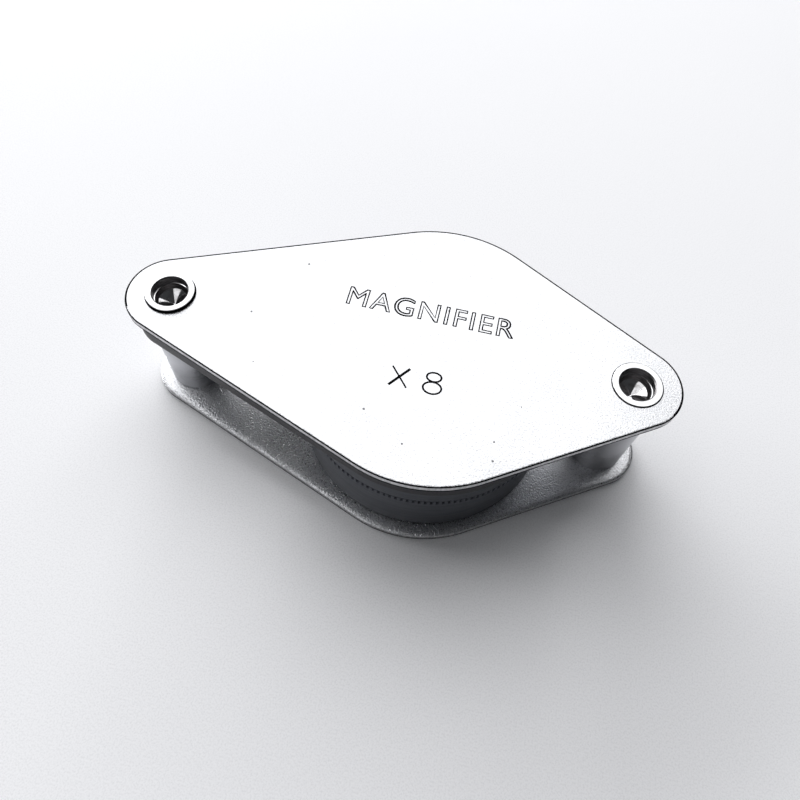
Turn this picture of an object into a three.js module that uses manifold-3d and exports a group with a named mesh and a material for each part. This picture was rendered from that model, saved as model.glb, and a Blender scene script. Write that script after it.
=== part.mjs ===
// Folding viewing loupe: three lenses in a round cell on a swing arm, between two case plates.
// Millimetres, +Z up. The origin is midway between the two case pins, at the underside of the case.
// +X runs along the case towards the pin that the arm doesn't turn on.
import * as THREE from 'three';
import { mergeVertices } from 'three/addons/utils/BufferGeometryUtils.js';
import Module from 'manifold-3d';

// Driving dimensions
const PIN_PITCH = 45; // between the two case pins
const CASE_HEIGHT = 14.4; // over the two plates' outer faces
const PLATE = { thickness: 0.9, endRadius: 4.3, bellyRadius: 12.7, bellyX: 3.45, bellyY: 1.6 };
const EDGE = 0.1; // chamfer on the plates' and the arm's edges
const PIN = { radius: 2.1, lipRadius: 2.35, mouthRadius: 1.8, drillRadius: 1.7, drillDepth: 0.85 };
const POINT = { radius: 1.36, depth: 1.38 }; // where a pin's drilled hole changes to its pointed bottom
const PIVOT_LIP = 0.35; // how far the pivot pin's rolled lip stands above the top plate
const END_LIP = 0.12; // the same, for the end pin
const SUNK_LIP = { radius: 2.46, depth: 0.36, height: 0.3 }; // both pins' lips sink into the bottom plate
const POINT_HALF_ANGLE = THREE.MathUtils.degToRad(59);
const SLEEVE_RADIUS = 2.9;
const WASHER = { radius: 3.6, thickness: 0.28, springRise: 0.16 };
const ARM = { bottom: 10.4, thickness: 2.7, endRadius: 3.8, ringRadius: 13.5 };
const CELL = { radius: 13.0, bore: 11.05, bottom: 1.2, seam: 7.5 }; // the lens barrel
const SPIGOT = { lowerRadius: 12.0, lowerTop: 9.0, upperRadius: 11.9, upperTop: 12.9 };
const KNURL = { count: 144, depth: 0.3, height: 0.62 };
const LENS = { radius: 10.95, capRadius: 9.6 };
const RETAINER = { radius: 10.98, bore: 9.8, slotWidth: 1.2, slotDepth: 0.3 };
const SPACER_BORE = 9.9;
// Each lens: z of the rim's underside, rim thickness, bulge below the rim and above it
const LOWER_LENS = { rim: 2.1, thickness: 1.0, below: 0.5, above: 1.6 };
const MIDDLE_LENS = { rim: 6.75, thickness: 0.9, below: 1.0, above: 1.0 };
const UPPER_LENS = { rim: 11.3, thickness: 1.0, below: 1.6, above: 0.55 };

// Clearances
const SEAT = 0.02; // between two faces that touch
const RUNNING = 0.06; // radial, between a pin and what it passes through
const SCREWED = 0.06; // radial, in a screwed joint

// How finely round shapes are faceted
const ARC_STEP = THREE.MathUtils.degToRad(7.5);
const PIN_FACETS = 36;
const CELL_FACETS = 60;
const LENS_FACETS = 48;
const CAP_STEPS = 4;

// Places worked out from the dimensions above
const PIVOT_X = -PIN_PITCH / 2;
const END_X = PIN_PITCH / 2;
const CELL_X = PLATE.bellyX;
const TOP_PLATE_Z = CASE_HEIGHT - PLATE.thickness;
const ARM_TOP = ARM.bottom + ARM.thickness;
const PIN_HOLE = PIN.radius + RUNNING;

const wasm = await Module();
wasm.setup();

const SATIN_NICKEL = { color: 0xd8dadd, roughness: 0.3, metalness: 1.0 };
const BRIGHT_NICKEL = { color: 0xe6e6e8, roughness: 0.18, metalness: 1.0 };
const DARK_ARM = { color: 0x3d3e43, roughness: 0.42, metalness: 0.7 };
const DARK_CELL = { color: 0x2b2e36, roughness: 0.45, metalness: 0.6 };
const BLACK_RING = { color: 0x141416, roughness: 0.6, metalness: 0.4 };
const SPRING_STEEL = { color: 0x8d8f93, roughness: 0.35, metalness: 1.0 };
const LENS_GLASS = { color: 0xe8f2f4, roughness: 0.02, metalness: 0.0, transparent: true, opacity: 0.35 };

const loupe = new THREE.Group();

function addPart(name, geometry, look) {
  const mesh = new THREE.Mesh(geometry, new THREE.MeshStandardMaterial(look));
  mesh.name = name;
  loupe.add(mesh);
}

// Points along an arc, a vertex at both ends
function arcPoints(x, y, radius, from, to) {
  const steps = Math.max(1, Math.ceil(Math.abs(to - from) / ARC_STEP - 1e-6));
  const points = [];
  for (let i = 0; i <= steps; i += 1) {
    const angle = from + ((to - from) * i) / steps;
    points.push(new THREE.Vector2(x + radius * Math.cos(angle), y + radius * Math.sin(angle)));
  }
  return points;
}

function circlePath(x, radius, facets) {
  const points = [];
  for (let i = 0; i < facets; i += 1) {
    const angle = (2 * Math.PI * i) / facets;
    points.push(new THREE.Vector2(x + radius * Math.cos(angle), radius * Math.sin(angle)));
  }
  return new THREE.Path(points);
}

// The direction square to the tangent that runs from one circle to the next, anticlockwise
function tangentAngle(a, b) {
  const length = Math.hypot(b.x - a.x, b.y - a.y);
  const heading = Math.atan2(b.y - a.y, b.x - a.x);
  return heading - Math.PI / 2 + Math.asin((a.radius - b.radius) / length);
}

// The outline of a band stretched round some circles, listed anticlockwise
function bandOutline(circles) {
  const points = [];
  circles.forEach((circle, i) => {
    const before = circles[(i + circles.length - 1) % circles.length];
    const after = circles[(i + 1) % circles.length];
    const from = tangentAngle(before, circle);
    let to = tangentAngle(circle, after);
    while (to < from) {
      to += 2 * Math.PI;
    }
    points.push(...arcPoints(circle.x, circle.y, circle.radius, from, to));
  });
  return new THREE.Shape(points);
}

// A flat piece with chamfered edges, its underside at z
function plateSolid(outline, holes, z, thickness) {
  outline.holes = holes;
  const geometry = new THREE.ExtrudeGeometry(outline, {
    depth: thickness - 2 * EDGE,
    bevelThickness: EDGE,
    bevelSize: EDGE,
    bevelOffset: -EDGE,
    bevelSegments: 1,
  });
  return geometry.translate(0, 0, z + EDGE);
}

// A turned piece about the vertical axis at x, from its [radius, z] profile
function turned(profile, x, facets) {
  const points = profile.map(([radius, z]) => new THREE.Vector2(radius, z));
  const geometry = new THREE.LatheGeometry(points, facets);
  return geometry.rotateX(Math.PI / 2).translate(x, 0, 0);
}

function ring(outer, inner, bottom, top, x, facets) {
  const profile = [[inner, bottom], [outer, bottom], [outer, top], [inner, top], [inner, bottom]];
  return turned(profile, x, facets);
}

function toManifold(geometry) {
  const bare = geometry.clone();
  bare.deleteAttribute('normal');
  bare.deleteAttribute('uv');
  const merged = mergeVertices(bare, 1e-5);
  const vertProperties = new Float32Array(merged.attributes.position.array);
  const triVerts = new Uint32Array(merged.index.array);
  return new wasm.Manifold(new wasm.Mesh({ numProp: 3, vertProperties, triVerts }));
}

function toGeometry(solid) {
  const result = solid.getMesh();
  const geometry = new THREE.BufferGeometry();
  geometry.setAttribute('position', new THREE.BufferAttribute(result.vertProperties, 3));
  geometry.setIndex(new THREE.BufferAttribute(result.triVerts, 1));
  geometry.computeVertexNormals();
  return geometry;
}

function caseOutline() {
  return bandOutline([
    { x: END_X, y: 0, radius: PLATE.endRadius },
    { x: PLATE.bellyX, y: PLATE.bellyY, radius: PLATE.bellyRadius },
    { x: PIVOT_X, y: 0, radius: PLATE.endRadius },
    { x: PLATE.bellyX, y: -PLATE.bellyY, radius: PLATE.bellyRadius },
  ]);
}

function casePlate(z) {
  const holes = [PIVOT_X, END_X].map((x) => circlePath(x, PIN_HOLE, PIN_FACETS));
  return plateSolid(caseOutline(), holes, z, PLATE.thickness);
}

// The bottom plate is counterbored from below, so that the pins' lips lie inside it
function bottomPlate() {
  let solid = toManifold(casePlate(0));
  for (const x of [PIVOT_X, END_X]) {
    const { radius, depth } = SUNK_LIP;
    const cutter = new THREE.CylinderGeometry(radius, radius, 2 * depth, PIN_FACETS);
    solid = solid.subtract(toManifold(cutter.rotateX(Math.PI / 2).translate(x, 0, 0)));
  }
  return toGeometry(solid);
}

// A rod drilled at both ends, with its ends rolled outwards over the plates
function casePin(x, lipHeight) {
  const tip = POINT.depth + POINT.radius / Math.tan(POINT_HALF_ANGLE);
  const flare = PIN.mouthRadius - PIN.drillRadius;
  const bottom = SUNK_LIP.depth - SUNK_LIP.height - 2 * SEAT;
  const lipBase = CASE_HEIGHT + SEAT;
  const top = CASE_HEIGHT + lipHeight;
  const profile = [
    [0, bottom + tip],
    [POINT.radius, bottom + POINT.depth],
    [PIN.drillRadius, bottom + PIN.drillDepth],
    [PIN.drillRadius, bottom + flare],
    [PIN.mouthRadius, bottom],
    [PIN.lipRadius, bottom],
    [PIN.lipRadius, bottom + SUNK_LIP.height],
    [PIN.radius, bottom + SUNK_LIP.height],
    [PIN.radius, lipBase],
    [PIN.lipRadius, lipBase],
    [PIN.lipRadius, top],
    [PIN.mouthRadius, top],
    [PIN.drillRadius, top - flare],
    [PIN.drillRadius, top - PIN.drillDepth],
    [POINT.radius, top - POINT.depth],
    [0, top - tip],
  ];
  return turned(profile, x, PIN_FACETS);
}

function sleeve(x, top) {
  return ring(SLEEVE_RADIUS, PIN_HOLE, PLATE.thickness + SEAT, top - SEAT, x, PIN_FACETS);
}

// A dished washer that presses the arm down onto the thrust washer
function springWasher() {
  const top = TOP_PLATE_Z - SEAT;
  const bottom = ARM_TOP + SEAT;
  const thickness = top - bottom - WASHER.springRise;
  const profile = [
    [PIN_HOLE, bottom + WASHER.springRise],
    [WASHER.radius, bottom],
    [WASHER.radius, bottom + thickness],
    [PIN_HOLE, top],
    [PIN_HOLE, bottom + WASHER.springRise],
  ];
  return turned(profile, PIVOT_X, PIN_FACETS);
}

function swingArm() {
  const outline = bandOutline([
    { x: CELL_X, y: 0, radius: ARM.ringRadius },
    { x: PIVOT_X, y: 0, radius: ARM.endRadius },
  ]);
  const pinHole = circlePath(PIVOT_X, PIN_HOLE, PIN_FACETS);
  const cellHole = circlePath(CELL_X, SPIGOT.upperRadius + SCREWED, CELL_FACETS);
  return plateSolid(outline, [pinHole, cellHole], ARM.bottom, ARM.thickness);
}

// The upper half of the barrel: a spigot screwed into the arm, and a socket for the lower half
function upperCell() {
  const bottom = CELL.seam + 2 * SEAT;
  const shoulder = ARM.bottom - SEAT;
  const socket = SPIGOT.lowerRadius + SCREWED;
  const profile = [
    [socket, bottom],
    [CELL.radius, bottom],
    [CELL.radius, shoulder],
    [SPIGOT.upperRadius, shoulder],
    [SPIGOT.upperRadius, SPIGOT.upperTop],
    [CELL.bore, SPIGOT.upperTop],
    [CELL.bore, SPIGOT.lowerTop + SEAT],
    [socket, SPIGOT.lowerTop + SEAT],
    [socket, bottom],
  ];
  return turned(profile, CELL_X, CELL_FACETS);
}

// The toothed band that the lower half is gripped by to unscrew it
function knurlBand() {
  const points = [];
  for (let i = 0; i < 2 * KNURL.count; i += 1) {
    const radius = i % 2 === 0 ? CELL.radius : CELL.radius - KNURL.depth;
    const angle = (Math.PI * i) / KNURL.count;
    points.push(new THREE.Vector2(radius * Math.cos(angle), radius * Math.sin(angle)));
  }
  const outline = new THREE.Shape(points);
  outline.holes = [circlePath(0, SPIGOT.lowerRadius - SCREWED, CELL_FACETS)];
  const band = new THREE.ExtrudeGeometry(outline, { depth: KNURL.height, bevelEnabled: false });
  return band.translate(CELL_X, 0, CELL.seam - KNURL.height);
}

function lowerCell() {
  const shoulder = CELL.seam - KNURL.height;
  const profile = [
    [CELL.bore, CELL.bottom],
    [CELL.radius, CELL.bottom],
    [CELL.radius, shoulder],
    [SPIGOT.lowerRadius, shoulder],
    [SPIGOT.lowerRadius, SPIGOT.lowerTop],
    [CELL.bore, SPIGOT.lowerTop],
    [CELL.bore, CELL.bottom],
  ];
  const tube = toManifold(turned(profile, CELL_X, CELL_FACETS));
  return toGeometry(tube.add(toManifold(knurlBand())));
}

// A screwed ring with two slots in its outer face, for the spanner that turns it
function retainer(bottom, top, slotZ) {
  let solid = toManifold(ring(RETAINER.radius, RETAINER.bore, bottom, top, CELL_X, CELL_FACETS));
  const slot = new THREE.BoxGeometry(3 * CELL.radius, RETAINER.slotWidth, 2 * RETAINER.slotDepth);
  solid = solid.subtract(toManifold(slot.translate(CELL_X, 0, slotZ)));
  return toGeometry(solid);
}

// A spherical cap's points from the axis out to its rim, or back again
function capPoints(rimZ, rise, outwards) {
  const curve = (LENS.capRadius ** 2 + rise ** 2) / (2 * Math.abs(rise));
  const points = [];
  for (let i = 0; i <= CAP_STEPS; i += 1) {
    const radius = (LENS.capRadius * i) / CAP_STEPS;
    const sag = curve - Math.sqrt(curve ** 2 - radius ** 2);
    points.push([radius, rimZ + rise - Math.sign(rise) * sag]);
  }
  return outwards ? points : points.reverse();
}

function lens({ rim, thickness, below, above }) {
  const profile = [
    ...capPoints(rim, -below, true),
    [LENS.radius, rim],
    [LENS.radius, rim + thickness],
    ...capPoints(rim + thickness, above, false),
  ];
  return turned(profile, CELL_X, LENS_FACETS);
}

function spacer(under, over) {
  const bottom = under.rim + under.thickness + SEAT;
  return ring(LENS.radius, SPACER_BORE, bottom, over.rim - SEAT, CELL_X, LENS_FACETS);
}

// The case
addPart('top_plate', casePlate(TOP_PLATE_Z), SATIN_NICKEL);
addPart('bottom_plate', bottomPlate(), SATIN_NICKEL);
addPart('pivot_pin', casePin(PIVOT_X, PIVOT_LIP), BRIGHT_NICKEL);
addPart('end_pin', casePin(END_X, END_LIP), BRIGHT_NICKEL);
const thrustBottom = ARM.bottom - WASHER.thickness - SEAT;
addPart('pivot_sleeve', sleeve(PIVOT_X, thrustBottom), BRIGHT_NICKEL);
addPart('end_sleeve', sleeve(END_X, TOP_PLATE_Z), BRIGHT_NICKEL);
const thrustWasher = ring(WASHER.radius, PIN_HOLE, thrustBottom, ARM.bottom - SEAT, PIVOT_X, PIN_FACETS);
addPart('thrust_washer', thrustWasher, SPRING_STEEL);
addPart('spring_washer', springWasher(), SPRING_STEEL);

// The swinging lens holder
const upperRim = UPPER_LENS.rim + UPPER_LENS.thickness;
addPart('swing_arm', swingArm(), DARK_ARM);
addPart('upper_cell', upperCell(), DARK_CELL);
addPart('lower_cell', lowerCell(), DARK_CELL);
addPart('upper_retainer', retainer(upperRim + SEAT, SPIGOT.upperTop, SPIGOT.upperTop), BLACK_RING);
addPart('lower_retainer', retainer(CELL.bottom, LOWER_LENS.rim - SEAT, CELL.bottom), BLACK_RING);
addPart('upper_lens', lens(UPPER_LENS), LENS_GLASS);
addPart('middle_lens', lens(MIDDLE_LENS), LENS_GLASS);
addPart('lower_lens', lens(LOWER_LENS), LENS_GLASS);
addPart('upper_spacer', spacer(MIDDLE_LENS, UPPER_LENS), BLACK_RING);
addPart('lower_spacer', spacer(LOWER_LENS, MIDDLE_LENS), BLACK_RING);

export default loupe;
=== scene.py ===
"""Looks for a folding viewing loupe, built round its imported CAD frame. Metres, +Z up."""
import math

import bmesh
import bpy
from mathutils import Matrix, Vector
from mathutils.geometry import tessellate_polygon


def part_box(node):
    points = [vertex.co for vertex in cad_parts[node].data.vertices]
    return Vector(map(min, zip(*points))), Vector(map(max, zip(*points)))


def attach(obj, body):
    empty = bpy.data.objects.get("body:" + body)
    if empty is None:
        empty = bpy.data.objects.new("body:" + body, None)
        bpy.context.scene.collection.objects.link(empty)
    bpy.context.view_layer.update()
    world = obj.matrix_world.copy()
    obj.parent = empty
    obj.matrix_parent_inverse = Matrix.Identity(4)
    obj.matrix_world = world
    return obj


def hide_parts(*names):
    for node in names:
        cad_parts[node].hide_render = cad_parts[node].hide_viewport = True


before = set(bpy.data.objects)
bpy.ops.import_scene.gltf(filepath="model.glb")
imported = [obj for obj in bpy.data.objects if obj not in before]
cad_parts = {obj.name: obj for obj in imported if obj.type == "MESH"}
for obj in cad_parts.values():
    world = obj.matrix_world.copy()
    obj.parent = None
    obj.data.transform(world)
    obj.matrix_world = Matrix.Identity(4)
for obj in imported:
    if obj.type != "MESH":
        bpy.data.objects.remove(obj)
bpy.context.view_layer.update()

MM = 0.001
TURN = 2 * math.pi

# ---------------------------------------------------------------- sizes and places, from the frame


def centre_x(node):
    low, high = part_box(node)
    return (low.x + high.x) / 2


def radius_of(node):
    low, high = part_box(node)
    return (high.y - low.y) / 2


def bottom_of(node):
    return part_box(node)[0].z


def top_of(node):
    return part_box(node)[1].z


PIVOT_X = centre_x("pivot_sleeve")
END_X = centre_x("end_sleeve")
CELL_X = centre_x("lower_cell")
PLATE_END_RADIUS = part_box("top_plate")[1].x - END_X
BELLY_RADIUS = 12.7 * MM
BELLY_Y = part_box("top_plate")[1].y - BELLY_RADIUS
EDGE_ROUND = 0.1 * MM  # on a plate's edges and on its holes
SHADED_BAND = 0.28 * MM  # the band along the bottom of a plate's side where the metal tore; it is painted near black there as painted shade
PIN_RADIUS = 2.1 * MM
PIN_HOLE = 2.16 * MM
PIN_FLARE = 0.3 * MM  # how far under the plate's face a pin starts to spread into its lip
MOUTH_RADIUS = 1.8 * MM
MOUTH_DEPTH = 0.14 * MM
DRILL_RADIUS = 1.68 * MM
DRILL_DEPTH = 0.85 * MM
DRILL_LEDGE = 0.07 * MM
LEDGE_SLOPE = 0.27
POINT_RADIUS = 1.36 * MM
POINT_DEPTH = 1.38 * MM
POINT_SLOPE = math.tan(math.radians(59))
CUTTING_RINGS = 5
RING_RIPPLE = 0.003 * MM
SUNK_LIP_RADIUS = 2.46 * MM
SUNK_LIP_DEPTH = 0.36 * MM
SUNK_LIP_HEIGHT = 0.3 * MM
COUNTERSINK = 2.44 * MM
COUNTERSINK_DEPTH = 0.42 * MM
SPIGOT_UPPER = 11.9 * MM
SPIGOT_LOWER = 12.0 * MM
CELL_BORE = 11.05 * MM
SEAT = 0.02 * MM  # between two faces that touch
SEAM_GAP = 0.04 * MM  # between the barrel's two parts
RUNNING = 0.06 * MM  # radial, round a spigot
KNURL_HEIGHT = 0.62 * MM
KNURL_COUNT = 144
KNURL_DEPTH = 0.26 * MM
KNURL_FADE = 0.16 * MM  # how far a notch runs out at each end
LENS_CAP = 9.6 * MM
RETAINER_BORE = 9.8 * MM
RETAINER_SLOT = (1.2 * MM, 0.6 * MM)  # its width, and twice its depth
SPACER_BORE = 9.9 * MM
SPACER_GROOVE = 0.12 * MM

# ---------------------------------------------------------------- mesh helpers


def rounded(points, closed=True, steps=5):
    """A profile of (radius, z, fillet) corners, with an arc in place of each corner that has one."""
    result = []
    count = len(points)
    for i, (r, z, fillet) in enumerate(points):
        here = Vector((r, z))
        if fillet == 0 or (not closed and i in (0, count - 1)):
            result.append(here)
            continue
        before = Vector(points[i - 1][:2]) - here
        after = Vector(points[(i + 1) % count][:2]) - here
        half = before.angle(after) / 2
        reach = fillet / math.tan(half)
        start = here + before.normalized() * reach
        end = here + after.normalized() * reach
        inward = (before.normalized() + after.normalized()).normalized()
        middle = here + inward * (fillet / math.sin(half))
        a = start - middle
        b = end - middle
        sweep = a.angle_signed(b)
        for step in range(steps + 1):
            turn = Matrix.Rotation(-sweep * step / steps, 2)
            result.append(middle + turn @ a)
    return [(p.x, p.y) for p in result]


def finish_mesh(name, bm, look, body, node, extra=()):
    """Turns a bmesh into a piece: flat where it is level, smooth elsewhere, crisp at real corners."""
    bmesh.ops.recalc_face_normals(bm, faces=bm.faces)
    mesh = bpy.data.meshes.new(name)
    bm.to_mesh(mesh)
    bm.free()
    piece = bpy.data.objects.new(name, mesh)
    bpy.context.scene.collection.objects.link(piece)
    for material in (look, *extra):
        mesh.materials.append(material)
    smooth_by_angle(mesh)
    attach(piece, body)
    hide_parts(node)
    return piece


def smooth_by_angle(mesh, limit=math.radians(28), level_above=0.99999):
    """Smooths each edge that turns less than the limit, unless only one of its two faces is level."""
    bm = bmesh.new()
    bm.from_mesh(mesh)
    bm.normal_update()
    for face in bm.faces:
        face.smooth = True
    for edge in bm.edges:
        if len(edge.link_faces) != 2:
            edge.smooth = False
            continue
        a, b = edge.link_faces
        level = [abs(f.normal.z) > level_above for f in (a, b)]
        edge.smooth = edge.calc_face_angle() < limit and level[0] == level[1]
    bm.to_mesh(mesh)
    bm.free()


def add_rings(bm, rings, closed):
    """Joins rings of vertices into strips of faces. A ring of one vertex is a point on the axis."""
    pairs = list(zip(rings, rings[1:]))
    if closed:
        pairs.append((rings[-1], rings[0]))
    for low, high in pairs:
        count = max(len(low), len(high))
        for i in range(count):
            j = (i + 1) % count
            if len(low) == 1:
                bm.faces.new((low[0], high[j], high[i]))
            elif len(high) == 1:
                bm.faces.new((low[i], low[j], high[0]))
            else:
                bm.faces.new((low[i], low[j], high[j], high[i]))


def lathe(profile, x, segments=192, closed=True, carve=None):
    """A turned body. carve(angle, r, z) is how far the wall is cut in at a place."""
    bm = bmesh.new()
    rings = []
    for r, z in profile:
        if r == 0:
            rings.append([bm.verts.new((x, 0, z))])
            continue
        ring = []
        for i in range(segments):
            angle = TURN * i / segments
            reach = r - carve(angle, r, z) if carve else r
            ring.append(bm.verts.new((x + reach * math.cos(angle), reach * math.sin(angle), z)))
        rings.append(ring)
    add_rings(bm, rings, closed)
    return bm


def band_points(circles, grow, arc_step=math.radians(2.5)):
    """The outline of a band stretched round circles of (x, y, radius), grown outwards by grow."""
    normals = []
    for i, (x, y, r) in enumerate(circles):
        nx, ny, nr = circles[(i + 1) % len(circles)]
        heading = math.atan2(ny - y, nx - x)
        normals.append(heading - math.pi / 2 + math.asin((r - nr) / math.hypot(nx - x, ny - y)))
    points = []
    for i, (x, y, r) in enumerate(circles):
        start, end = normals[i - 1], normals[i]
        while end < start:
            end += TURN
        steps = max(2, math.ceil((end - start) / arc_step))
        for step in range(steps + 1):
            angle = start + (end - start) * step / steps
            points.append((x + (r + grow) * math.cos(angle), y + (r + grow) * math.sin(angle)))
    return points


def edge_profile(bottom, top, low_round, high_round, roll=1.0, steps=6):
    """(grow, z) pairs up a plate's rounded side. roll is how much wider than deep the top rounding is."""
    pairs = []
    for step in range(steps + 1):
        angle = math.pi / 2 * step / steps
        grow = low_round * (math.sin(angle) - 1)
        pairs.append((grow, bottom + low_round * (1 - math.cos(angle))))
    pairs.append((0, bottom + SHADED_BAND))
    for step in range(steps + 1):
        angle = math.pi / 2 * step / steps
        grow = roll * high_round * (math.cos(angle) - 1)
        pairs.append((grow, top - high_round * (1 - math.sin(angle))))
    return pairs


def slab(circles, holes, side, segments=96):
    """A flat plate: its outline, its side's (grow, z) profile, and holes as (x, [(radius, z)...])."""
    bm = bmesh.new()
    outer = [[bm.verts.new((px, py, z)) for px, py in band_points(circles, grow)] for grow, z in side]
    add_rings(bm, outer, False)
    walls = []
    for x, profile in holes:
        rings = []
        for r, z in profile:
            angles = [TURN * i / segments for i in range(segments)]
            rings.append([bm.verts.new((x + r * math.cos(a), r * math.sin(a), z)) for a in angles])
        add_rings(bm, rings, False)
        walls.append(rings)
    for end in (0, -1):
        loops = [outer[end]] + [rings[end] for rings in walls]
        flat = [vert for loop in loops for vert in loop]
        for a, b, c in tessellate_polygon([[vert.co for vert in loop] for loop in loops]):
            bm.faces.new((flat[a], flat[b], flat[c]))
    return bm


def case_band():
    """The four circles that the case plates' outline is stretched round."""
    return [
        (END_X, 0, PLATE_END_RADIUS),
        (CELL_X, BELLY_Y, BELLY_RADIUS),
        (PIVOT_X, 0, PLATE_END_RADIUS),
        (CELL_X, -BELLY_Y, BELLY_RADIUS),
    ]


# ---------------------------------------------------------------- node helpers


class Nodes:
    """A material's node tree, with short ways to add the nodes used here."""

    # A Mix node's colour sockets, which share their names with its number and vector sockets
    MIX_A, MIX_B, MIX_RESULT = 6, 7, 2

    def __init__(self, name):
        self.material = bpy.data.materials.new(name)
        self.material.use_nodes = True
        self.tree = self.material.node_tree
        self.shader = self.tree.nodes["Principled BSDF"]
        self.coords = self.tree.nodes.new("ShaderNodeTexCoord").outputs["Object"]

    def add(self, kind, **settings):
        node = self.tree.nodes.new(kind)
        for key, value in settings.items():
            setattr(node, key, value)
        return node

    def link(self, source, target):
        self.tree.links.new(source, target)

    def stretched(self, scale):
        node = self.add("ShaderNodeMapping")
        node.inputs["Scale"].default_value = scale
        self.link(self.coords, node.inputs["Vector"])
        return node.outputs["Vector"]

    def noise(self, size, detail=2.0, roughness=0.5, vector=None):
        node = self.add("ShaderNodeTexNoise")
        node.inputs["Scale"].default_value = 1 / size
        node.inputs["Detail"].default_value = detail
        node.inputs["Roughness"].default_value = roughness
        self.link(vector or self.coords, node.inputs["Vector"])
        return node.outputs["Fac"]

    def spots(self, size, chance, radius):
        """Sparse round spots: 1 inside a spot and 0 outside."""
        cells = self.add("ShaderNodeTexVoronoi")
        cells.inputs["Scale"].default_value = 1 / size
        self.link(self.coords, cells.inputs["Vector"])
        near = self.math("LESS_THAN", cells.outputs["Distance"], radius)
        split = self.add("ShaderNodeSeparateColor")
        self.link(cells.outputs["Color"], split.inputs["Color"])
        chosen = self.math("LESS_THAN", split.outputs["Red"], chance)
        return self.math("MULTIPLY", near, chosen)

    def math(self, operation, a, b):
        node = self.add("ShaderNodeMath", operation=operation)
        for socket, value in zip(node.inputs, (a, b)):
            if isinstance(value, (int, float)):
                socket.default_value = value
            else:
                self.link(value, socket)
        return node.outputs["Value"]

    def span(self, source, low, high, start=0.0, end=1.0):
        """Maps source from start..end to low..high."""
        node = self.add("ShaderNodeMapRange")
        self.link(source, node.inputs["Value"])
        node.inputs["From Min"].default_value = start
        node.inputs["From Max"].default_value = end
        node.inputs["To Min"].default_value = low
        node.inputs["To Max"].default_value = high
        return node.outputs["Result"]

    def blend(self, factor, a, b):
        node = self.add("ShaderNodeMix", data_type="RGBA")
        self.link(factor, node.inputs["Factor"])
        for socket, value in ((node.inputs[self.MIX_A], a), (node.inputs[self.MIX_B], b)):
            if isinstance(value, tuple):
                socket.default_value = (*value, 1)
            else:
                self.link(value, socket)
        return node.outputs[self.MIX_RESULT]

    def bump(self, height, strength, distance):
        node = self.add("ShaderNodeBump")
        node.inputs["Strength"].default_value = strength
        node.inputs["Distance"].default_value = distance
        self.link(height, node.inputs["Height"])
        return node.outputs["Normal"]

    def done(self, color, roughness, normal=None, metallic=1.0):
        for socket, value in (("Base Color", color), ("Roughness", roughness)):
            if isinstance(value, tuple):
                self.shader.inputs[socket].default_value = (*value, 1)
            elif isinstance(value, (int, float)):
                self.shader.inputs[socket].default_value = value
            else:
                self.link(value, self.shader.inputs[socket])
        self.shader.inputs["Metallic"].default_value = metallic
        if normal:
            self.link(normal, self.shader.inputs["Normal"])
        return self.material


# ---------------------------------------------------------------- materials


def satin_nickel(name, grain_size, grain_height, grain_shade, roughness, pitted, metallic):
    """Nickel plate over a satin grain, with a few pits and a faint handling haze."""
    n = Nodes(name)
    grain = n.noise(grain_size, detail=2, roughness=0.5)
    haze = n.noise(7 * MM, detail=4, roughness=0.6)
    pits = n.spots(1.9 * MM, pitted, 0.06)
    color = n.blend(n.span(haze, 0, 1, 0.35, 0.7), (0.71, 0.717, 0.74), (0.66, 0.668, 0.693))
    color = n.blend(n.span(grain, 0, grain_shade, 0.5, 0.68), color, (0.25, 0.253, 0.27))
    color = n.blend(pits, color, (0.16, 0.16, 0.17))
    uneven = n.math("ADD", n.span(haze, -0.03, 0.03, 0.3, 0.7), n.span(grain, -0.05, 0.05, 0.3, 0.7))
    normal = n.bump(grain, 0.8, grain_height)
    return n.done(color, n.math("ADD", uneven, roughness), normal, metallic)


def sheared_edge(name, bright, dull):
    """A blanked edge: fine upright shear marks, duller than the face."""
    n = Nodes(name)
    marks = n.noise(0.16 * MM, detail=2, vector=n.stretched((1, 1, 0.12)))
    color = n.blend(n.span(marks, 0, 1, 0.35, 0.65), bright, dull)
    return n.done(color, n.span(marks, 0.35, 0.55, 0.3, 0.7), n.bump(marks, 0.35, 0.03 * MM), metallic=0.6)


def painted_shade_rim():
    """Painted shade: near-black, unreflecting paint for the rounded corners of a blanked edge and for a
    pin's lip side, where shade falls.
    """
    n = Nodes("painted_shade_rim")
    shade_mottle = n.noise(0.25 * MM, detail=3)
    n.shader.inputs["Specular IOR Level"].default_value = 0.0
    color = n.blend(n.span(shade_mottle, 0, 1, 0.4, 0.75), (0.004, 0.004, 0.005), (0.014, 0.014, 0.016))
    return n.done(color, n.span(shade_mottle, 0.6, 0.8, 0.3, 0.7), n.bump(shade_mottle, 0.2, 0.02 * MM), metallic=0.0)


def turned_nickel(name, bright, dull):
    """Bright plate over lathe marks that run round the piece."""
    n = Nodes(name)
    rings = n.noise(0.1 * MM, detail=2, vector=n.stretched((0.02, 0.02, 1)))
    cloud = n.noise(1.6 * MM, detail=3)
    color = n.blend(cloud, bright, dull)
    return n.done(color, n.span(rings, 0.27, 0.38, 0.3, 0.7), n.bump(rings, 0.18, 0.012 * MM))


def drilled_metal():
    """The bare bottom of a drilled hole: cutting rings round the point, and a little grime."""
    n = Nodes("drilled_metal")
    rings = n.noise(0.12 * MM, detail=2, vector=n.stretched((0.02, 0.02, 1)))
    grime = n.noise(0.5 * MM, detail=3)
    color = n.blend(n.span(grime, 0, 1, 0.45, 0.75), (0.86, 0.86, 0.88), (0.5, 0.49, 0.49))
    return n.done(color, n.span(grime, 0.05, 0.12, 0.4, 0.7), n.bump(rings, 0.15, 0.012 * MM))


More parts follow.
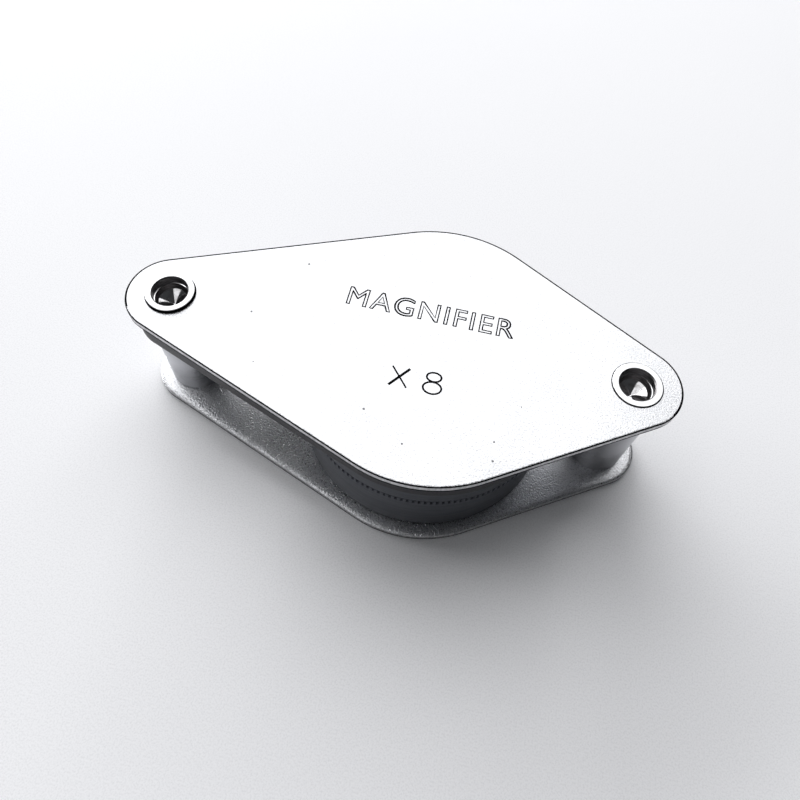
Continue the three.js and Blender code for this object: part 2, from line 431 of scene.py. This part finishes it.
def shaded_drill_wall():
    """Painted shade: the scored wall of a drilled hole, coloured near black where the hole's depth shades
    it.
    """
    n = Nodes("shaded_drill_wall")
    scores = n.noise(0.09 * MM, detail=3, vector=n.stretched((0.15, 0.15, 1)))
    color = n.blend(n.span(scores, 0, 1, 0.3, 0.7), (0.085, 0.08, 0.08), (0.2, 0.195, 0.2))
    return n.done(color, n.span(scores, 0.3, 0.45, 0.3, 0.7), n.bump(scores, 0.25, 0.02 * MM))


def dark_arm():
    """Dark grey anodised metal with a soft satin grain."""
    n = Nodes("dark_arm")
    n.shader.inputs["Specular IOR Level"].default_value = 0.2
    grain = n.noise(0.12 * MM, detail=3, roughness=0.6)
    cloud = n.noise(4 * MM, detail=3)
    color = n.blend(cloud, (0.02, 0.02, 0.023), (0.03, 0.03, 0.034))
    return n.done(color, n.span(grain, 0.34, 0.5, 0.3, 0.7), n.bump(grain, 0.15, 0.012 * MM), metallic=0.3)


def dark_cell():
    """Blue-black anodised metal with fine turning lines."""
    n = Nodes("dark_cell")
    rings = n.noise(0.14 * MM, detail=3, vector=n.stretched((0.03, 0.03, 1)))
    cloud = n.noise(5 * MM, detail=3)
    color = n.blend(cloud, (0.06, 0.066, 0.079), (0.08, 0.086, 0.101))
    return n.done(color, n.span(rings, 0.36, 0.5, 0.3, 0.7), n.bump(rings, 0.16, 0.012 * MM), metallic=0.8)


def black_ring():
    """Matt black anodising, fine and even."""
    n = Nodes("black_ring")
    grain = n.noise(0.09 * MM, detail=2)
    color = n.blend(grain, (0.012, 0.012, 0.013), (0.022, 0.022, 0.024))
    return n.done(color, n.span(grain, 0.5, 0.7, 0.3, 0.7), n.bump(grain, 0.2, 0.01 * MM), metallic=0.3)


def washer_steel():
    """Plain steel with fine rubbing marks."""
    n = Nodes("washer_steel")
    rub = n.noise(0.2 * MM, detail=3, vector=n.stretched((1, 1, 0.2)))
    color = n.blend(rub, (0.38, 0.38, 0.4), (0.5, 0.5, 0.52))
    return n.done(color, n.span(rub, 0.28, 0.45, 0.3, 0.7), n.bump(rub, 0.15, 0.01 * MM))


def engraved_dark():
    """The dark bottom of the engraved grooves."""
    n = Nodes("engraved_dark")
    grain = n.noise(0.08 * MM, detail=2)
    n.shader.inputs["Specular IOR Level"].default_value = 0.0
    color = n.blend(n.span(grain, 0, 1, 0.4, 0.75), (0.004, 0.004, 0.005), (0.03, 0.03, 0.033))
    return n.done(color, n.span(grain, 0.5, 0.7, 0.3, 0.7), n.bump(grain, 0.3, 0.01 * MM), metallic=0.0)


def lens_glass():
    """Polished glass with a trace of dust."""
    n = Nodes("lens_glass")
    dust = n.spots(0.9 * MM, 0.12, 0.03)
    n.shader.inputs["Transmission Weight"].default_value = 1.0
    n.shader.inputs["IOR"].default_value = 1.52
    color = n.blend(dust, (0.97, 0.99, 1.0), (0.7, 0.7, 0.7))
    return n.done(color, n.span(dust, 0.0, 0.3), metallic=0.0)


def floor_paper():
    """Pale matt board with a barely seen tooth."""
    n = Nodes("floor_paper")
    tooth = n.noise(0.5 * MM, detail=3)
    cloud = n.noise(60 * MM, detail=2)
    color = n.blend(n.span(cloud, 0, 1, 0.3, 0.7), (0.895, 0.9, 0.926), (0.912, 0.916, 0.94))
    color = n.blend(n.span(n.noise(0.16 * MM, detail=2), 0, 0.8, 0.42, 0.7), color, (0.79, 0.795, 0.82))
    n.shader.inputs["Specular IOR Level"].default_value = 0.2
    return n.done(color, n.span(tooth, 0.75, 0.9, 0.3, 0.7), n.bump(tooth, 0.1, 0.02 * MM), metallic=0.0)


SATIN = satin_nickel("satin_nickel", 0.15 * MM, 0.025 * MM, 0.3, 0.27, pitted=0.45, metallic=0.8)
INSIDE = satin_nickel("satin_inside", 0.18 * MM, 0.068 * MM, 0.6, 0.3, pitted=0.05, metallic=1.0)
EDGE = sheared_edge("sheared_edge", (0.7, 0.7, 0.715), (0.5, 0.5, 0.515))
# Painted shade: a darker copy of the sheared edge for the bottom plate's side, which sits in shade by the
# floor
SHADED_EDGE = sheared_edge("sheared_edge_painted_shade", (0.42, 0.42, 0.43), (0.28, 0.28, 0.29))
# Painted shade: the near-black rim paint, laid where shade falls on plate edges and pin lips
SHADE_RIM = painted_shade_rim()
# The sleeves and the pins are one turned nickel in two copies; the pins' copy is painted lighter, as a
# painted highlight on their lips
TURNED = turned_nickel("turned_nickel", (0.56, 0.565, 0.59), (0.46, 0.465, 0.49))
LIT_LIP = turned_nickel("lip_nickel_painted_highlight", (0.78, 0.785, 0.8), (0.7, 0.705, 0.72))
DRILLED = drilled_metal()
# Painted shade: the near-black colour of the drilled holes' walls
SHADED_BORE = shaded_drill_wall()
ARM = dark_arm()
CELL = dark_cell()
BLACK = black_ring()
WASHER = washer_steel()
ENGRAVED = engraved_dark()
GLASS = lens_glass()

# ---------------------------------------------------------------- the case plates


# The material slots of a plate and of a case pin, after their first
PLATE_SIDE, PLATE_SHADE_RIM, PLATE_INSIDE = 1, 2, 3
PIN_POINT, PIN_SHADED_BORE, PIN_SHADE_RIM = 1, 2, 3


def paint_sides(mesh, bottom, shade_rim_above, inside):
    """A blanked side: bright where it was sheared, and painted near black, as painted shade, where it tore
    below and maybe on the rim above.
    inside is +1 or -1, the way that the plate's inner face looks. The painted shade on the rim reaches less
    far in along the front than elsewhere."""
    # How level a face may be, as the size of its normal's z, and which way counts as the front
    upright, shade_front, shade_back = 0.2, 0.98, 0.9999
    flat, front = 0.001, -0.6
    for polygon in mesh.polygons:
        level = abs(polygon.normal.z)
        sideways = polygon.normal.xy.length
        back = sideways > flat and polygon.normal.y > front * sideways
        # Painted shade: faces in the band at the bottom, and on the rim above when asked, take the
        # near-black shade paint
        in_shaded_band = polygon.center.z < bottom + SHADED_BAND
        if polygon.normal.z * inside > upright:
            polygon.material_index = PLATE_INSIDE
        if level < upright and polygon.center.z > bottom + SHADED_BAND:
            polygon.material_index = PLATE_SIDE
        elif level < (shade_back if back else shade_front) and (shade_rim_above or in_shaded_band):
            polygon.material_index = PLATE_SHADE_RIM


def graver(name, curve, width, z):
    """Turns a flat curve's lines into round-nosed cutters, half sunk at height z."""
    curve.dimensions = "3D"
    curve.fill_mode = "FULL"
    curve.extrude = 0
    curve.bevel_depth = width / 2
    curve.bevel_resolution = 2
    curve.use_fill_caps = True
    lines = bpy.data.objects.new(name, curve)
    bpy.context.scene.collection.objects.link(lines)
    bpy.context.view_layer.update()
    graph = bpy.context.evaluated_depsgraph_get()
    mesh = bpy.data.meshes.new_from_object(lines.evaluated_get(graph))
    bpy.data.objects.remove(lines)
    mesh.transform(Matrix.Translation((0, 0, z)))
    mesh.materials.clear()
    mesh.materials.append(ENGRAVED)
    cutter = bpy.data.objects.new(name, mesh)
    bpy.context.scene.collection.objects.link(cutter)
    return cutter


def word_outline(word, height, width, start, tilt, spread=1.12):
    """The outlines of a word's letters as a curve, with the cap height asked for and about the width.
    spread makes up for the last letter, which has no space after it."""
    text = bpy.data.curves.new("word", "FONT")
    text.body = word
    text.resolution_u = 5
    holder = bpy.data.objects.new("word", text)
    bpy.context.scene.collection.objects.link(holder)
    bpy.context.view_layer.update()
    scale = height / holder.dimensions.y
    natural = holder.dimensions.x
    text.space_character = 1 + (width / scale / natural - 1) * spread
    bpy.context.view_layer.update()
    curve = holder.to_curve(bpy.context.evaluated_depsgraph_get()).copy()
    bpy.data.objects.remove(holder)
    corners = [p.co for s in curve.splines for p in (s.bezier_points or s.points)]
    left = min(c.x for c in corners)
    base = min(c.y for c in corners)
    place = Matrix.Translation((*start, 0)) @ Matrix.Rotation(tilt, 4, "Z")
    curve.transform(place @ Matrix.Scale(scale, 4) @ Matrix.Translation((-left, -base, 0)))
    for spline in curve.splines:
        for point in spline.bezier_points:
            point.radius = 1
    return curve


def line_curve(points, closed=False):
    curve = bpy.data.curves.new("line", "CURVE")
    spline = curve.splines.new("POLY")
    spline.points.add(len(points) - 1)
    for point, (x, y) in zip(spline.points, points):
        point.co = (x, y, 0, 1)
    spline.use_cyclic_u = closed
    return curve


def ellipse_points(x, y, rx, ry, count=40):
    angles = [TURN * i / count for i in range(count)]
    return [(x + rx * math.cos(a), y + ry * math.sin(a)) for a in angles]


def carve(piece, cutter):
    """Cuts the cutter out of the piece's mesh and removes it."""
    modifier = piece.modifiers.new("carve", "BOOLEAN")
    modifier.object = cutter
    modifier.operation = "DIFFERENCE"
    modifier.solver = "EXACT"
    modifier.use_self = True
    modifier.material_mode = "TRANSFER"
    bpy.context.view_layer.update()
    graph = bpy.context.evaluated_depsgraph_get()
    made = bpy.data.meshes.new_from_object(piece.evaluated_get(graph))
    piece.modifiers.clear()
    piece.data = made
    bpy.data.objects.remove(cutter)


def engrave(plate, top):
    """A generic word in outline letters, and the power under it in plain strokes."""
    tilt = math.radians(-1.4)
    word = word_outline("MAGNIFIER", 2.1 * MM, 16.5 * MM, (-5.85 * MM, 2.8 * MM), tilt)
    carve(plate, graver("word", word, 0.18 * MM, top))
    low, high, left = -5.25 * MM, -3.0 * MM, 0.0
    cross, inset = 1.65 * MM, 0.1 * MM
    broad, fine, even = 0.26 * MM, 0.17 * MM, 0.19 * MM
    eight = left + 3.95 * MM
    lower_loop = (0.85 * MM, 0.62 * MM)
    upper_loop = (0.68 * MM, 0.48 * MM)
    rising = line_curve([(left, low + inset), (left + cross, high - inset)])
    falling = line_curve([(left, high - inset), (left + cross, low + inset)])
    lower = line_curve(ellipse_points(eight, low + lower_loop[1], *lower_loop), True)
    upper = line_curve(ellipse_points(eight, high - upper_loop[1], *upper_loop), True)
    for curve, width in ((rising, broad), (falling, fine), (lower, even), (upper, even)):
        carve(plate, graver("stroke", curve, width, top))


def top_plate():
    bottom, top = bottom_of("top_plate"), top_of("top_plate")
    holes = []
    for x in (PIVOT_X, END_X):
        holes.append((x, [(PIN_HOLE + EDGE_ROUND, bottom), (PIN_HOLE, bottom + EDGE_ROUND),
                          (PIN_HOLE, top - COUNTERSINK_DEPTH), (COUNTERSINK, top)]))
    side = edge_profile(bottom, top, EDGE_ROUND, EDGE_ROUND, roll=2.2)
    bm = slab(case_band(), holes, side)
    others = (EDGE, SHADE_RIM, INSIDE, ENGRAVED)
    plate = finish_mesh("top_plate_skin", bm, SATIN, "case", "top_plate", others)
    paint_sides(plate.data, bottom, shade_rim_above=True, inside=-1)
    engrave(plate, top)
    smooth_by_angle(plate.data)


def bottom_plate():
    bottom, top = bottom_of("bottom_plate"), top_of("bottom_plate")
    holes = []
    for x in (PIVOT_X, END_X):
        holes.append((x, [(SUNK_LIP_RADIUS + EDGE_ROUND, bottom), (SUNK_LIP_RADIUS, bottom + EDGE_ROUND),
                          (SUNK_LIP_RADIUS, bottom + SUNK_LIP_DEPTH), (PIN_HOLE, bottom + SUNK_LIP_DEPTH),
                          (PIN_HOLE, top)]))
    side = edge_profile(bottom, top, EDGE_ROUND, 0.15 * MM, roll=4.4)
    bm = slab(case_band(), holes, side)
    others = (SHADED_EDGE, SHADE_RIM, INSIDE)
    plate = finish_mesh("bottom_plate_skin", bm, SATIN, "case", "bottom_plate", others)
    paint_sides(plate.data, bottom, shade_rim_above=False, inside=1)


# ---------------------------------------------------------------- pins, sleeves and washers


def drill_wall(mouth_z, into):
    """(radius, z, fillet) points down a drilled end, from its mouth to the axis. into is +1 up, -1 down."""
    points = [
        (MOUTH_RADIUS, mouth_z, 0),
        (DRILL_RADIUS, mouth_z + into * MOUTH_DEPTH, 0),
        (DRILL_RADIUS, mouth_z + into * DRILL_DEPTH, 0),
        (DRILL_RADIUS - DRILL_LEDGE, mouth_z + into * (DRILL_DEPTH + LEDGE_SLOPE * DRILL_LEDGE), 0),
    ]
    steps = 2 * CUTTING_RINGS
    for i in range(steps):
        r = POINT_RADIUS * (1 - i / steps)
        z = POINT_DEPTH + (POINT_RADIUS - r) / POINT_SLOPE - (RING_RIPPLE if i % 2 else 0)
        points.append((r, mouth_z + into * z, 0))
    points.append((0, mouth_z + into * (POINT_DEPTH + POINT_RADIUS / POINT_SLOPE), 0))
    return points


def case_pin(node, x, lip_curl):
    """A pin drilled at both ends. lip_curl is how far its upper lip is rolled out past the neck under it."""
    lip = radius_of(node)
    bottom, top = bottom_of(node), top_of(node)
    plate_top = top_of("top_plate")
    shank_low = bottom + SUNK_LIP_HEIGHT
    edge = min(0.1 * MM, (top - plate_top) * 0.45)
    profile = drill_wall(bottom, 1)[::-1]
    profile += [
        (lip, bottom, 0.08 * MM),
        (lip, shank_low, 0.05 * MM),
        (PIN_RADIUS, shank_low, 0),
        (PIN_RADIUS, plate_top - PIN_FLARE, 0),
        (lip - lip_curl, plate_top - SEAT, 0),
        (lip, plate_top + 0.04 * MM, 0.02 * MM),
        (lip, top, edge),
    ]
    profile += drill_wall(top, -1)
    bm = lathe(rounded(profile, closed=False), x, segments=128, closed=False)
    pin = finish_mesh(node + "_turned", bm, LIT_LIP, "case", node, (DRILLED, SHADED_BORE, SHADE_RIM))
    # Painted shade: the lip's side and the neck just under the plate's face take the near-black shade paint
    wall_below, shade_below = 0.8, 0.5
    for polygon in pin.data.polygons:
        level = abs(polygon.normal.z)
        # Painted shade: a drilled hole's walls take the near-black wall colour
        if math.hypot(polygon.center.x - x, polygon.center.y) < MOUTH_RADIUS:
            polygon.material_index = PIN_SHADED_BORE if level < wall_below else PIN_POINT
        elif level < shade_below and polygon.center.z > plate_top - PIN_FLARE:
            polygon.material_index = PIN_SHADE_RIM


def sleeve(node, x):
    r = radius_of(node)
    low, high = bottom_of(node), top_of(node)
    chamfer = 0.12 * MM
    profile = rounded([(PIN_HOLE, low, 0), (r, low, chamfer), (r, high, chamfer), (PIN_HOLE, high, 0)])
    finish_mesh(node + "_turned", lathe(profile, x), TURNED, "case", node)


def thrust_washer():
    r = radius_of("thrust_washer")
    low, high = bottom_of("thrust_washer"), top_of("thrust_washer")
    edge = 0.06 * MM
    profile = rounded([(PIN_HOLE, low, 0), (r, low, edge), (r, high, edge), (PIN_HOLE, high, 0)])
    bm = lathe(profile, PIVOT_X)
    finish_mesh("thrust_washer_turned", bm, WASHER, "case", "thrust_washer")


def spring_washer():
    r = radius_of("spring_washer")
    low, high = bottom_of("spring_washer"), top_of("spring_washer")
    rise = 0.16 * MM
    edge = 0.04 * MM
    thick = high - low - rise
    profile = rounded([
        (PIN_HOLE, low + rise, edge), (r, low, edge), (r, low + thick, edge), (PIN_HOLE, high, edge),
    ])
    bm = lathe(profile, PIVOT_X)
    finish_mesh("spring_washer_dished", bm, WASHER, "case", "spring_washer")


# ---------------------------------------------------------------- the swinging lens holder


def swing_arm():
    low_corner, high_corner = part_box("swing_arm")
    bottom, top = low_corner.z, high_corner.z
    circles = [(CELL_X, 0, high_corner.y), (PIVOT_X, 0, PIVOT_X - low_corner.x)]
    chamfer = 0.12 * MM
    edge = 0.16 * MM
    holes = []
    for x, r in ((PIVOT_X, PIN_HOLE), (CELL_X, SPIGOT_UPPER + RUNNING)):
        mouth = r + chamfer
        holes.append((x, [(mouth, bottom), (r, bottom + chamfer), (r, top - chamfer), (mouth, top)]))
    bm = slab(circles, holes, edge_profile(bottom, top, edge, edge))
    finish_mesh("swing_arm_body", bm, ARM, "lens_holder", "swing_arm")


def upper_cell():
    r = radius_of("upper_cell")
    low, high = bottom_of("upper_cell"), top_of("upper_cell")
    shoulder = bottom_of("swing_arm") - SEAT
    socket = SPIGOT_LOWER + RUNNING
    socket_top = top_of("lower_cell") + SEAT
    profile = rounded([
        (socket, low, 0.04 * MM),
        (r, low, 0.06 * MM),
        (r, shoulder, 0.1 * MM),
        (SPIGOT_UPPER, shoulder, 0),
        (SPIGOT_UPPER, high, 0.1 * MM),
        (CELL_BORE, high, 0.08 * MM),
        (CELL_BORE, socket_top, 0),
        (socket, socket_top, 0),
    ])
    bm = lathe(profile, CELL_X, segments=256)
    finish_mesh("upper_cell_turned", bm, CELL, "lens_holder", "upper_cell")


def lower_cell():
    """The part that unscrews, with a knurled band just under the seam."""
    r = radius_of("lower_cell")
    low, high = bottom_of("lower_cell"), top_of("lower_cell")
    seam = bottom_of("upper_cell") - SEAM_GAP
    band_low = seam - KNURL_HEIGHT
    spigot = SPIGOT_LOWER - SEAT
    levels = 10
    corners = [(CELL_BORE, low, 0.08 * MM), (r, low, 0.22 * MM)]
    corners += [(r, band_low + KNURL_HEIGHT * i / levels, 0) for i in range(levels)]
    corners += [(r, seam, 0.05 * MM), (spigot, seam, 0)]
    corners += [(spigot, high, 0.06 * MM), (CELL_BORE, high, 0.04 * MM)]

    def notch(angle, radius, z):
        if radius < r - 0.1 * MM or not band_low < z < seam:
            return 0
        phase = (angle / TURN * KNURL_COUNT) % 1
        across = max(0, math.cos((phase - 0.5) * TURN)) ** 0.7
        along = min(1, (z - band_low) / KNURL_FADE, (seam - z) / KNURL_FADE)
        return KNURL_DEPTH * across * math.sin(along * math.pi / 2)

    bm = lathe(rounded(corners), CELL_X, KNURL_COUNT * 8, carve=notch)
    finish_mesh("lower_cell_turned", bm, CELL, "lens_holder", "lower_cell")


def retainer(node, slot_side):
    """A screwed ring with two spanner slots. slot_side is +1 for slots in its top, -1 underneath."""
    r = radius_of(node)
    low, high = bottom_of(node), top_of(node)
    edge = 0.08 * MM
    profile = rounded([
        (RETAINER_BORE, low, edge), (r, low, edge), (r, high, edge), (RETAINER_BORE, high, edge),
    ])
    bm = lathe(profile, CELL_X)
    ring = finish_mesh(node + "_turned", bm, BLACK, "lens_holder", node)
    place = Matrix.Translation((CELL_X, 0, high if slot_side > 0 else low))
    bm = bmesh.new()
    bmesh.ops.create_cube(bm, size=1, matrix=place @ Matrix.Diagonal((3 * r, *RETAINER_SLOT, 1)))
    mesh = bpy.data.meshes.new("slot")
    bm.to_mesh(mesh)
    bm.free()
    mesh.materials.append(BLACK)
    cutter = bpy.data.objects.new("slot", mesh)
    bpy.context.scene.collection.objects.link(cutter)
    carve(ring, cutter)
    smooth_by_angle(ring.data)


def lens(node, below, above, thickness):
    """A ground lens: a rim that thick, bulging by below and above from the rim's two faces."""
    r = radius_of(node)
    low = bottom_of(node) + below
    steps = 24

    def cap(rim_z, rise):
        curve = (LENS_CAP ** 2 + rise ** 2) / (2 * abs(rise))
        for i in range(steps + 1):
            radius = LENS_CAP * i / steps
            sag = curve - math.sqrt(curve ** 2 - radius ** 2)
            yield radius, rim_z + rise - math.copysign(sag, rise)

    rim_top = low + thickness
    profile = [*cap(low, -below), (r, low), (r, rim_top), *reversed(list(cap(rim_top, above)))]
    bm = lathe(profile, CELL_X, closed=False)
    finish_mesh(node + "_polished", bm, GLASS, "lens_holder", node)


def spacer(node):
    """A ring between two lenses, grooved inside so that it doesn't glare."""
    r = radius_of(node)
    low, high = bottom_of(node), top_of(node)
    edge = 0.03 * MM
    steps = 18
    inner = []
    for i in range(steps + 1):
        groove = SPACER_GROOVE if i % 2 else 0
        inner.append((SPACER_BORE + groove, high + (low - high) * i / steps, 0))
    bm = lathe(rounded([(r, low, edge), (r, high, edge)] + inner), CELL_X, segments=160)
    finish_mesh(node + "_grooved", bm, BLACK, "lens_holder", node)


top_plate()
bottom_plate()
case_pin("pivot_pin", PIVOT_X, lip_curl=0.12 * MM)
case_pin("end_pin", END_X, lip_curl=0.1 * MM)
sleeve("pivot_sleeve", PIVOT_X)
sleeve("end_sleeve", END_X)
thrust_washer()
spring_washer()
swing_arm()
upper_cell()
lower_cell()
retainer("upper_retainer", slot_side=1)
retainer("lower_retainer", slot_side=-1)
lens("upper_lens", below=1.6 * MM, above=0.55 * MM, thickness=1.0 * MM)
lens("middle_lens", below=1.0 * MM, above=1.0 * MM, thickness=0.9 * MM)
lens("lower_lens", below=0.5 * MM, above=1.6 * MM, thickness=1.0 * MM)
spacer("upper_spacer")
spacer("lower_spacer")

# ---------------------------------------------------------------- floor, light and camera


def floor():
    """A pale sheet, a hair below the loupe so that their faces don't share a plane."""
    size = 3.0
    mesh = bpy.data.meshes.new("floor")
    corners = [(-size, -size, 0), (size, -size, 0), (size, size, 0), (-size, size, 0)]
    mesh.from_pydata(corners, [], [(0, 1, 2, 3)])
    mesh.materials.append(floor_paper())
    plane = bpy.data.objects.new("floor", mesh)
    plane.location.z = -0.01 * MM
    bpy.context.scene.collection.objects.link(plane)


def from_angle(azimuth, elevation):
    """The direction towards a place seen at that azimuth (0 is -Y, 180 is +Y) and elevation."""
    a, e = math.radians(azimuth), math.radians(elevation)
    return Vector((math.sin(a) * math.cos(e), -math.cos(a) * math.cos(e), math.sin(e)))


def softbox(name, azimuth, elevation, distance, width, height, radiance):
    """A plain white area light that faces the loupe, of the same brightness whatever its size."""
    data = bpy.data.lights.new(name, "AREA")
    data.shape = "RECTANGLE"
    data.size = width
    data.size_y = height
    data.energy = radiance * math.pi * width * height
    light = bpy.data.objects.new(name, data)
    direction = from_angle(azimuth, elevation)
    light.location = direction * distance
    light.rotation_euler = direction.to_track_quat("Z", "Y").to_euler()
    bpy.context.scene.collection.objects.link(light)


def studio_light():
    """A dim world and large soft lights, mostly from behind and above."""
    world = bpy.data.worlds.new("studio")
    bpy.context.scene.world = world
    world.use_nodes = True
    background = world.node_tree.nodes["Background"]
    background.inputs["Color"].default_value = (0.93, 0.96, 1.0, 1)
    background.inputs["Strength"].default_value = 0.04
    softbox("window", azimuth=225, elevation=15, distance=1.2, width=2.1, height=0.56, radiance=9.55)
    softbox("side_window", azimuth=163, elevation=16, distance=1.2, width=0.7, height=0.55, radiance=1.8)
    softbox("overhead", azimuth=197, elevation=60, distance=0.9, width=1.13, height=0.75, radiance=1.85)
    softbox("right_sky", azimuth=146, elevation=36, distance=1.2, width=0.42, height=0.34, radiance=1.1)
    softbox("ceiling", azimuth=310, elevation=59, distance=1.2, width=0.95, height=0.5, radiance=0.85)
    softbox("front_fill", azimuth=0, elevation=14, distance=1.2, width=3.0, height=0.6, radiance=0.28)
    bpy.context.scene.view_settings.view_transform = "Standard"


def camera():
    """A wide lens, close above the loupe's front edge."""
    azimuth, elevation, roll = 6.44, 60.42, 5.75
    aim = Vector((1.118, -5.281, 14.4)) * MM
    distance = 61.2 * MM
    data = bpy.data.cameras.new("camera")
    data.lens = 30.455
    data.sensor_width = 36
    data.shift_y = -0.015
    data.clip_start = 0.001
    data.clip_end = 20
    eye = bpy.data.objects.new("camera", data)
    back = from_angle(azimuth, elevation)
    right = Vector((math.cos(math.radians(azimuth)), math.sin(math.radians(azimuth)), 0))
    up = back.cross(right)
    level = Matrix((right, up, back)).transposed()
    turned = level @ Matrix.Rotation(math.radians(roll), 3, "Z")
    eye.matrix_world = Matrix.LocRotScale(aim + back * distance, turned.to_quaternion(), None)
    bpy.context.scene.collection.objects.link(eye)
    bpy.context.scene.camera = eye


floor()
studio_light()
camera()
